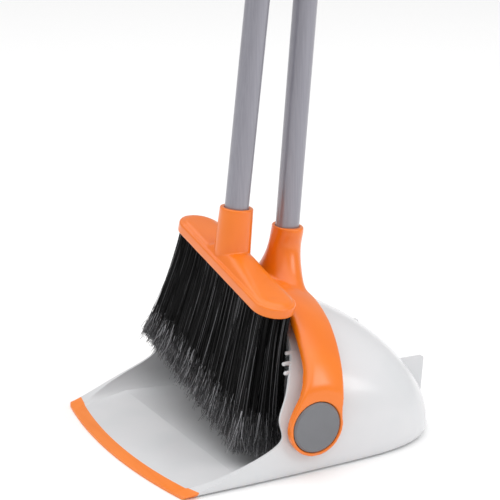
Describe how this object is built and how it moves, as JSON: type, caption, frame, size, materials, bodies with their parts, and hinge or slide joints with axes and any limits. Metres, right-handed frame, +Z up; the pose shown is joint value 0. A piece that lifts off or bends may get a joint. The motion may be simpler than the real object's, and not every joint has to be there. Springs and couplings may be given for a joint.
{
  "type": "dust pan and brush set",
  "caption": "Long-handled dust pan with a hinged fork handle, and a broom with an angled block that stands in the pan and clips to its handle.",
  "frame": {"origin": "on the floor, in the plane of symmetry of the pan, right under the axis that the fork handle turns about", "axes": "+Z up; -Y towards the pan's lip, +Y towards the back of the hood; +X along the pan's width and the pivot axis, towards the lower end of the broom's block"},
  "size_m": [0.307, 0.3382, 0.9556],
  "materials": {
    "white_plastic": "glossy moulded plastic",
    "orange_plastic": "satin moulded plastic",
    "lip_rubber": "soft moulded strip",
    "grey_plastic": "fine textured plastic",
    "grey_soft_grip": "soft ribbed grip",
    "tube_paint": "satin paint over steel tube",
    "black_plastic": "moulded plastic",
    "bristle_fibre": "flagged synthetic fibre",
    "screw_steel": "zinc plated steel"
  },
  "bodies": {
    "pan": {"pan_body": "white_plastic", "pan_lip": "lip_rubber", "left_pivot_pin": "black_plastic", "right_pivot_pin": "black_plastic", "pivot_screws": "screw_steel", "pivot_washers": "screw_steel"},
    "handle": {"yoke": "orange_plastic", "yoke_screw": "screw_steel", "left_pivot_cap": "grey_plastic", "right_pivot_cap": "grey_plastic", "brush_clip": "grey_plastic", "pan_tube_lower": "tube_paint", "pan_tube_upper": "tube_paint", "pan_tube_joiner": "grey_plastic", "pan_tube_insert": "black_plastic", "pan_grip": "orange_plastic", "pan_grip_sleeve": "grey_soft_grip"},
    "brush": {"brush_block": "orange_plastic", "block_screw": "screw_steel", "tuft_plate": "black_plastic", "bristles": "bristle_fibre", "brush_tube_lower": "tube_paint", "brush_tube_upper": "tube_paint", "brush_tube_joiner": "grey_plastic", "brush_tube_insert": "black_plastic", "brush_grip": "orange_plastic", "brush_grip_sleeve": "grey_soft_grip"}
  },
  "joints": [
    {"name": "handle_fold", "type": "hinge", "parent": "pan", "child": "handle", "pos_m": [0, 0, 0.0535], "axis": [1, 0, 0], "range_deg": [0, 60], "deforming": ["bristles"]},
    {"name": "brush_lift", "type": "slide", "parent": "handle", "child": "brush", "axis": [0, 0.113, 0.9936], "range_m": [0, 0.28], "deforming": ["bristles"]}
  ]
}
